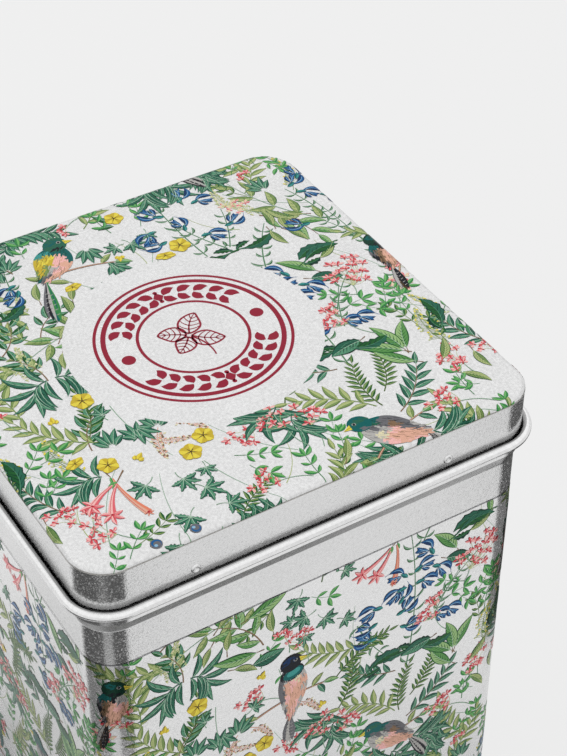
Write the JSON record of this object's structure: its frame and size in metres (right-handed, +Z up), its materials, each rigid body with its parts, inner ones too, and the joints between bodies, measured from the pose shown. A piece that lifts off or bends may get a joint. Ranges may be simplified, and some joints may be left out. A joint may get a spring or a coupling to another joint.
{
  "type": "tea caddy",
  "caption": "Tall square metal tea caddy with rounded corners, a beaded neck, a shallow slip lid and an inner plug lid with a knob.",
  "frame": {"origin": "on the ground plane, at the centre of the square base", "axes": "+Z up, the front wall faces -Y and the folded side seam is in the middle of the +Y wall"},
  "size_m": [0.0938, 0.0938, 0.135],
  "materials": {
    "coated_tinplate": "satin white base coat under a coloured plant print, left bare on the skirt, bead and top band",
    "bare_tinplate": "satin tin with a fine stone grain",
    "turned_aluminium": "satin, turned"
  },
  "bodies": {
    "can": {"can_wall": "coated_tinplate", "base_panel": "bare_tinplate"},
    "lid": {"outer_lid": "coated_tinplate"},
    "plug": {"inner_lid_pan": "bare_tinplate", "inner_lid_knob": "turned_aluminium", "knob_rivet": "bare_tinplate"}
  },
  "joints": [
    {"name": "outer_lid_lift", "type": "slide", "parent": "can", "child": "lid", "axis": [0, 0, 1], "range_m": [0, 0.06]},
    {"name": "inner_lid_lift", "type": "slide", "parent": "can", "child": "plug", "axis": [0, 0, 1], "range_m": [0, 0.03]}
  ],
  "couplings": [
    {"joint": "inner_lid_lift", "follows": "outer_lid_lift", "ratio": 0.5}
  ]
}
